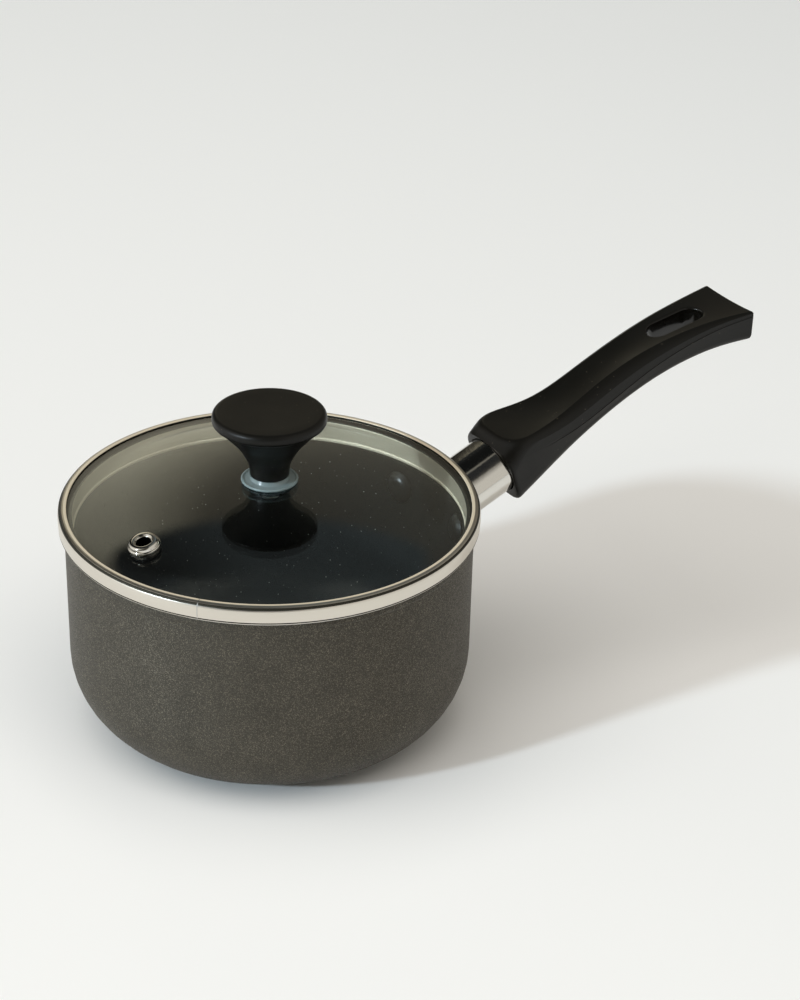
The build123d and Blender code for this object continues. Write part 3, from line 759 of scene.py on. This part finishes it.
# The strip is polished where it shows outside, and left matt from the rolls on the skirt; the lip's
# flat edge and the skirt's hem are rubbed bright
hem_steel = matt_steel.copy()
hem_steel.name = "rubbed_stainless_hem"
hem_steel.node_tree.nodes["steel"].inputs["Metallic"].default_value = 0.4
# In the folded channel round the glass the steel is painted dark: painted shade for the shadowed gap between
# the glass and the band
channel_shade_steel = matt_steel.copy()
channel_shade_steel.name = "painted_shade_channel"
channel_shade_steel.node_tree.nodes["steel"].inputs["Base Color"].default_value = linear("3a3831")
for finish in (matt_steel, hem_steel, channel_shade_steel):
    band.data.materials.append(finish)
hem_top = band_low.z + 1.3 * MM
lip_edge_start = band_top - 0.3 * MM
lip_edge_radius = band_radius - lip_round - 0.2 * MM
channel_shade_start = ledge_top - 0.9 * MM
skirt_reach = band_radius - lip_width - 0.2 * MM
for face in band.data.polygons:
    out, up = face.center.to_2d().length, face.center.z
    buried = out < band_radius - sheet / 2 and up < band_top - sheet / 2
    if up < hem_top or (up > lip_edge_start and out < lip_edge_radius):
        face.material_index = 2
    # Faces buried in the channel take the painted shade
    elif buried and (up > channel_shade_start or out > ledge_radius + sheet / 2):
        face.material_index = 3
    elif out < skirt_reach:
        face.material_index = 1
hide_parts("lid_rim_band")
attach(band, "lid")

# The weld: a fine bead, ground almost flush, that follows the band's outside from lip to fold
seam_turn = radians(-139.5)
seam_half, seam_proud, seam_depth = 0.3 * MM, 0.05 * MM, 0.2 * MM
radial = Vector((cos(seam_turn), sin(seam_turn), 0))
along = Vector((-sin(seam_turn), cos(seam_turn), 0))
seam_end = band_bottom + 0.3 * MM
seam_path = [p for p in rounded(outside) if p.imag > seam_end and p.real > band_radius - lip_width]
seam_rings = []
for before, here, after in zip(seam_path, seam_path[1:], seam_path[2:]):
    out = (after - before) * 1j / abs(after - before)
    ring = []
    for side, level in ((-1, -seam_depth), (-0.6, seam_proud), (0.6, seam_proud), (1, -seam_depth)):
        spot = here + out * level
        ring.append(radial * spot.real + along * side * seam_half + Vector((0, 0, spot.imag)))
    seam_rings.append(ring)
seam = new_piece("band_weld_seam", closed_mesh("band_weld_seam", seam_rings))
seam.data.materials.append(pressed_steel)
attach(seam, "lid")


# Lid glass
# Tempered soda-lime glass, pressed to a shallow dome with a flat rim and fire-polished; it is clear
# through its face and green only where it is seen through its edge.
glass, tree = new_finish("tempered_glass")
output = surfaced(tree, {"Base Color": linear("fbfefc"), "Roughness": 0.0, "IOR": 1.52,
                         "Transmission Weight": 1.0})
tint = add_node(tree, "ShaderNodeVolumeAbsorption", {"Color": linear("a8d8c0"), "Density": 12.0})
tree.links.new(tint.outputs[0], output.inputs["Volume"])

glass_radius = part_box("lid_glass")[1].x
glass_thickness = 4.0 * MM
dome_rise = 10.9 * MM
dome_edge = glass_radius - 5.0 * MM
dome_sphere = (dome_edge ** 2 + dome_rise ** 2) / (2 * dome_rise)
glass_hole = 4.0 * MM
brim_start = 70.0 * MM
brim_end = band_radius - lip_width
brim_width = brim_end - brim_start


def dome(height, steps=40, brim_steps=14):
    """Outline of a face whose flat edge lies at a height: the dome's arc, then a brim that flattens out."""
    top = height + dome_rise - dome_sphere
    radii = [glass_hole + (brim_start - glass_hole) * k / steps for k in range(steps + 1)]
    points = [(r, top + sqrt(dome_sphere ** 2 - r * r), 0) for r in radii]
    start = points[-1][1]
    slope = brim_start / sqrt(dome_sphere ** 2 - brim_start ** 2)
    bend = (start - height - slope * brim_width) / brim_width ** 2
    for k in range(1, brim_steps + 1):
        out = brim_width * k / brim_steps
        points.append((brim_start + out, start - slope * out - bend * out ** 2, 0))
    return points


rim_face = ledge_top + glass_thickness
glass_outline = rounded(
    dome(ledge_top)
    + [(glass_radius, ledge_top, 0.5 * MM), (glass_radius, rim_face, 0.8 * MM)]
    + dome(rim_face)[::-1],
)
pane = turned("lid_pane", glass_outline, glass, closed=True, segments=256)
# The vent's hole is drilled square to the dome, and lamps shine through the glass
vent_turn = radians(-170)
vent_radius = glass_radius - 19.5 * MM
vent_tilt = asin(vent_radius / dome_sphere)
vent_height = rim_face + dome_rise - dome_sphere * (1 - cos(vent_tilt))
vent_place = (Matrix.Translation((vent_radius * cos(vent_turn), vent_radius * sin(vent_turn), vent_height))
              @ Matrix.Rotation(vent_turn, 4, "Z") @ Matrix.Rotation(vent_tilt, 4, "Y"))
drill_radius, drill_low, drill_high = 4.05 * MM, -8.0 * MM, 4.0 * MM
drill_outline = rounded([
    (0, drill_low, 0), (drill_radius, drill_low, 0), (drill_radius, drill_high, 0), (0, drill_high, 0),
])
drill = turned("vent_drill", drill_outline, glass, segments=64)
drill.data.transform(vent_place)
cut_away(pane, drill)
pane.visible_shadow = False
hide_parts("lid_glass")
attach(pane, "lid")


# Steam vent
# A stainless eyelet pressed through the glass: a flange and a raised crown above, clinched over a
# flat washer below.
vent_hole, vent_tube, vent_flange, vent_step, vent_crown = (r * MM for r in (3.0, 3.9, 6.5, 6.0, 5.6))
vent_clinch = 5.2 * MM
clinch_top = -4.95 * MM
clinch_end = clinch_top - 1.2 * MM
eyelet_outline = rounded([
    (vent_hole, clinch_end, 0.5 * MM),
    (vent_clinch, clinch_end, 0.6 * MM),
    (vent_clinch, clinch_top, 0),
    (vent_tube, clinch_top, 0),
    (vent_tube, 0, 0),
    (vent_flange, 0, 0.25 * MM),
    (vent_flange, 1.0 * MM, 0.4 * MM),
    (vent_step, 1.3 * MM, 0.2 * MM),
    (vent_crown, 2.9 * MM, 1.2 * MM),
    (vent_tube, 3.0 * MM, 0.7 * MM),
    (vent_hole, 2.3 * MM, 0.4 * MM),
], arc_step=radians(15))
eyelet = turned("vent_eyelet_tube", eyelet_outline, polished_steel, closed=True, segments=96)
# Its clinched end and the washers under the glass take phosphated steel's dull grey, painted darker still as
# painted shade under the glass
shaded_dull_steel = pressed_steel.copy()
shaded_dull_steel.name = "phosphated_steel_painted_shade"
shaded_dull_steel.node_tree.nodes["steel"].inputs["Base Color"].default_value = linear("262625")
eyelet.data.materials.append(shaded_dull_steel)
for face in eyelet.data.polygons:
    if face.center.z < -0.5 * MM:
        face.material_index = 1
eyelet.data.transform(vent_place)
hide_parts("vent_eyelet")
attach(eyelet, "lid")
vent_disc = from_frame("vent_washer", "vent_clinch_washer", shaded_dull_steel)
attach(vent_disc, "lid")


# Knob
# A phenolic mushroom, moulded over a threaded brass sleeve and drawn down on the glass by a screw.
knob_low, knob_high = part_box("knob")
knob_base, knob_top, knob_radius = knob_low.z, knob_high.z, knob_high.x
knob_rim = 6.0 * MM
knob_neck = 8.0 * MM
knob_dish = 0.6 * MM
sleeve_radius = 4.6 * MM
sleeve_length = 14.0 * MM
knob_outline = rounded([
    (0, knob_base + sleeve_length, 0),
    (sleeve_radius, knob_base + sleeve_length, 0),
    (sleeve_radius, knob_base, 0),
    (knob_neck - 0.1 * MM, knob_base, 0.5 * MM),
    (knob_neck + 0.2 * MM, knob_base + 5.5 * MM, 12 * MM),
    (12.7 * MM, knob_base + 13.5 * MM, 24 * MM),
    (knob_radius - 2.1 * MM, knob_top - knob_rim + 0.4 * MM, 1.0 * MM),
    (knob_radius, knob_top - knob_rim * 0.68, 1.5 * MM),
    (knob_radius - 0.2 * MM, knob_top - 0.1 * MM, 2.2 * MM),
    (knob_radius * 0.7, knob_top - knob_dish * 0.4, 20 * MM),
    (0, knob_top - knob_dish, 0),
])
knob = turned("knob_moulding", knob_outline, phenolic, segments=160)
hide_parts("knob")
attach(knob, "lid")

# Machined brass, seen only in the sleeve's end
brass, tree = new_finish("machined_brass")
turning_pitch = 0.2 * MM
turning_length = 11.1 * MM
turning = grain(tree, (turning_length, turning_length, turning_pitch))
surfaced(tree, {"Base Color": linear("c9a75c"), "Metallic": 1.0,
                "Roughness": between(tree, turning, 0.2, 0.35)})
sleeve = from_frame("knob_insert", "knob_brass_sleeve", brass)
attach(sleeve, "lid")


# Knob washer, gasket, cup washer and screw
# A clear silicone washer with a raised edge under the knob, and below the glass a clear gasket, a
# steel cup washer and the screw's head.

# Silicone rubber, cast clear: the thick washer is a little milky and blue, the thin gasket quite clear.
milky_silicone, tree = new_finish("milky_silicone")
surfaced(tree, {"Base Color": linear("b2c5c7"), "Roughness": 0.22, "IOR": 1.41, "Transmission Weight": 0.5})
clear_silicone, tree = new_finish("clear_silicone")
surfaced(tree, {"Base Color": linear("eef5f5"), "Roughness": 0.05, "IOR": 1.41, "Transmission Weight": 1.0})
washer_low, washer_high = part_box("knob_washer")
washer_radius = washer_high.x
washer_sheet = 1.0 * MM
washer_hole = 2.8 * MM
washer_round = 0.3 * MM
washer_outline = rounded([
    (washer_hole, washer_low.z, 0),
    (washer_radius, washer_low.z, washer_round),
    (washer_radius, washer_low.z + washer_sheet, washer_round),
    (washer_radius - 0.8 * MM, washer_low.z + washer_sheet, washer_round),
    (washer_radius - 1.2 * MM, washer_low.z + 0.55 * washer_sheet, washer_round),
    (7.8 * MM, washer_low.z + 0.65 * washer_sheet, washer_round),
    (7.0 * MM, washer_high.z, 0),
    (washer_hole, washer_high.z, 0),
])
knob_seat = turned("knob_seat_washer", washer_outline, milky_silicone, closed=True, segments=96)
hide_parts("knob_washer")
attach(knob_seat, "lid")
seal = from_frame("knob_gasket", "knob_seal_ring", clear_silicone)
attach(seal, "lid")
# The cup washer under the glass takes the same painted shade
cup = from_frame("knob_cup_washer", "knob_steel_washer", shaded_dull_steel)
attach(cup, "lid")
lid_screw = from_frame("knob_screw", "knob_pan_screw", zinc_plate)
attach(lid_screw, "lid")


# Floor, light and camera
# A plain pale floor under a low soft sun and a broad softbox, in a room with walls that go from pale
# to dark, and a dim ceiling.
floor_colour, tree = new_finish("pale_floor")
surfaced(tree, {"Base Color": linear("f4f4f3"), "Roughness": 0.9})
floor_mesh = bpy.data.meshes.new("floor")
floor_half = 6.0
floor_corners = [(x * floor_half, y * floor_half, 0) for x, y in ((-1, -1), (1, -1), (1, 1), (-1, 1))]
floor_mesh.from_pydata(floor_corners, [], [(0, 1, 2, 3)])
floor_mesh.materials.append(floor_colour)
floor = new_piece("floor", floor_mesh)

# The room as the shiny pieces mirror it: how pale its wall is in each direction, in degrees from the
# handle, under a dim ceiling; the camera sees a plain pale backdrop instead
wall_tones = [(-180, "b5b2ab"), (-168, "56534c"), (-118, "56534c"), (-100, "d6d3cc"),
              (-60, "d6d3cc"), (-15, "b0aca3"), (10, "7e7a70"), (35, "6c675d"), (47, "726c60"),
              (54, "7f796b"), (60, "b8b19d"), (65, "ddd6bf"), (69.6, "ddd6bf"), (70.7, "201f1d"),
              (95, "201f1d"), (112, "c0bcb2"), (130, "f2efe8"), (168, "f2efe8"), (180, "b5b2ab")]
ceiling_tones = [(-180, "7c7a73"), (-150, "2a2b2c"), (-100, "2a2b2c"), (-60, "8a867c"), (0, "8a867c"),
                 (20, "3c3f40"), (35, "62696b"), (62, "62696b"), (78, "3a3c3c"), (92, "151616"),
                 (138, "151616"), (155, "7c7a73"), (180, "7c7a73")]
world = bpy.data.worlds.new("studio")
bpy.context.scene.world = world
world.use_nodes = True
tree = world.node_tree
tree.nodes.clear()
where = add_node(tree, "ShaderNodeTexCoord")
way = add_node(tree, "ShaderNodeSeparateXYZ", {"Vector": where.outputs["Generated"]})
bearing = add_node(tree, "ShaderNodeMath", {0: way.outputs["Y"], 1: way.outputs["X"]}, operation="ARCTAN2")
height = add_node(tree, "ShaderNodeMath", {0: way.outputs["Z"]}, operation="ARCSINE")
# The wall's tones lean back as they rise
wall_lean = 0.37
leaned = add_node(tree, "ShaderNodeMath",
                  {0: height.outputs[0], 1: -wall_lean, 2: bearing.outputs[0]}, operation="MULTIPLY_ADD")
tones = []
for turn, stops_wanted in ((leaned, wall_tones), (bearing, ceiling_tones)):
    around = add_node(tree, "ShaderNodeMapRange", {"Value": turn.outputs[0], "From Min": -pi, "From Max": pi})
    ramp = add_node(tree, "ShaderNodeValToRGB", {"Fac": around.outputs["Result"]})
    stops = ramp.color_ramp.elements
    for angle, colour in stops_wanted[1:-1]:
        stops.new((angle + 180) / 360).color = linear(colour)
    stops[0].color, stops[-1].color = linear(stops_wanted[0][1]), linear(stops_wanted[-1][1])
    tones.append(ramp.outputs["Color"])
# The pale wall reaches higher on the camera's side than behind the pan
behind = radians(50)
front_rise = 0.22
ceiling_start, ceiling_full = 0.615, 0.655
aside = add_node(tree, "ShaderNodeMath", {0: bearing.outputs[0], 1: behind}, operation="SUBTRACT")
off = add_node(tree, "ShaderNodeMath", {0: aside.outputs[0]}, operation="ABSOLUTE")
in_front = add_node(tree, "ShaderNodeMapRange",
                    {"Value": off.outputs[0], "From Min": radians(60), "From Max": radians(90)})
level = add_node(tree, "ShaderNodeMath",
                 {0: in_front.outputs["Result"], 1: -front_rise, 2: way.outputs["Z"]},
                 operation="MULTIPLY_ADD")
ceiling = add_node(tree, "ShaderNodeMapRange",
                   {"Value": level.outputs[0], "From Min": ceiling_start, "From Max": ceiling_full})
room = add_node(tree, "ShaderNodeMix",
                {"Factor": ceiling.outputs["Result"], "A": tones[0], "B": tones[1]}, data_type="RGBA")
path = add_node(tree, "ShaderNodeLightPath")
seen = add_node(tree, "ShaderNodeMix",
                {"Factor": path.outputs["Is Camera Ray"], "A": room.outputs["Result"], "B": linear("e9e8e5")},
                data_type="RGBA")
light = add_node(tree, "ShaderNodeBackground", {"Color": seen.outputs["Result"], "Strength": 1.0})
add_node(tree, "ShaderNodeOutputWorld", {"Surface": light.outputs[0]})

sun = bpy.data.lights.new("low_sun", "SUN")
sun.energy = 1.9
sun.angle = radians(4)
sun.color = linear("e2f3ff")[:3]
sun_lamp = bpy.data.objects.new("low_sun", sun)
bpy.context.scene.collection.objects.link(sun_lamp)
sun_height = radians(22)
sun_way = Vector((cos(sun_height), 0, -sin(sun_height)))
sun_lamp.rotation_euler = sun_way.to_track_quat("-Z", "Y").to_euler()
# The softbox hangs above and to the left and fills the shadows; it shows in no mirror
softbox = bpy.data.lights.new("softbox", "AREA")
softbox.size = 3.0
softbox.energy = 45.0
softbox.color = linear("fffbf6")[:3]
softbox_lamp = bpy.data.objects.new("softbox", softbox)
softbox_lamp.location = (-0.9, -0.4, 2.1)
softbox_lamp.visible_camera = False
softbox_lamp.visible_glossy = False
softbox_lamp.visible_transmission = False
bpy.context.scene.collection.objects.link(softbox_lamp)

camera_data = bpy.data.cameras.new("camera")
camera_data.lens = 105.3
camera_data.sensor_width = 36.0
camera_data.clip_end = 50.0
camera = bpy.data.objects.new("camera", camera_data)
bpy.context.scene.collection.objects.link(camera)
look = Vector((0.48457, 0.73497, -0.47436))
upward = Vector((0.24436, 0.40696, 0.88016))
stand = Vector((-525.54, -892.20, 656.46)) * MM
turned_to = Matrix((look.cross(upward), upward, -look)).transposed().to_4x4()
camera.matrix_world = Matrix.Translation(stand) @ turned_to
bpy.context.scene.camera = camera
bpy.context.scene.view_settings.view_transform = "Standard"
